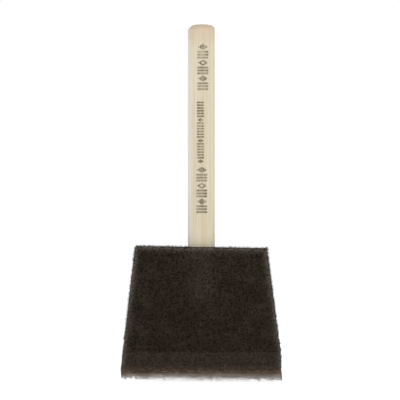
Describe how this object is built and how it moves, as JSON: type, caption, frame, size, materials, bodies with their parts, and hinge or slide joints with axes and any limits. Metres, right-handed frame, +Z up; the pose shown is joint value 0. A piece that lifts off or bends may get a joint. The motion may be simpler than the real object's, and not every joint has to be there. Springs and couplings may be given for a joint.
{
  "type": "foam sponge brush",
  "caption": "Foam sponge brush: a round wooden dowel handle set in a moulded paddle inside a tapered foam head whose bevelled chisel tip flexes.",
  "frame": {"origin": "middle of the chisel edge at the foam's tip", "axes": "+Z up along the handle, X across the foam's width, Y through its thickness with the front working face towards -Y"},
  "size_m": [0.0762, 0.021, 0.1672],
  "materials": {
    "birch": "matte",
    "paddle_plastic": "satin",
    "wood_glue": "satin",
    "hot_melt": "satin",
    "foam": "matte"
  },
  "bodies": {
    "handle": {"handle_dowel": "birch", "stiffener_paddle": "paddle_plastic", "handle_adhesive": "wood_glue", "glue_seam_front": "hot_melt", "glue_seam_back": "hot_melt", "foam_head": "foam"},
    "tip": {"foam_tip": "foam"}
  },
  "joints": [
    {"name": "tip_flex", "type": "hinge", "parent": "handle", "child": "tip", "pos_m": [0, 0, 0.013], "axis": [1, 0, 0], "range_deg": [-30, 30], "stiffness_Nm_per_rad": 0.02}
  ]
}
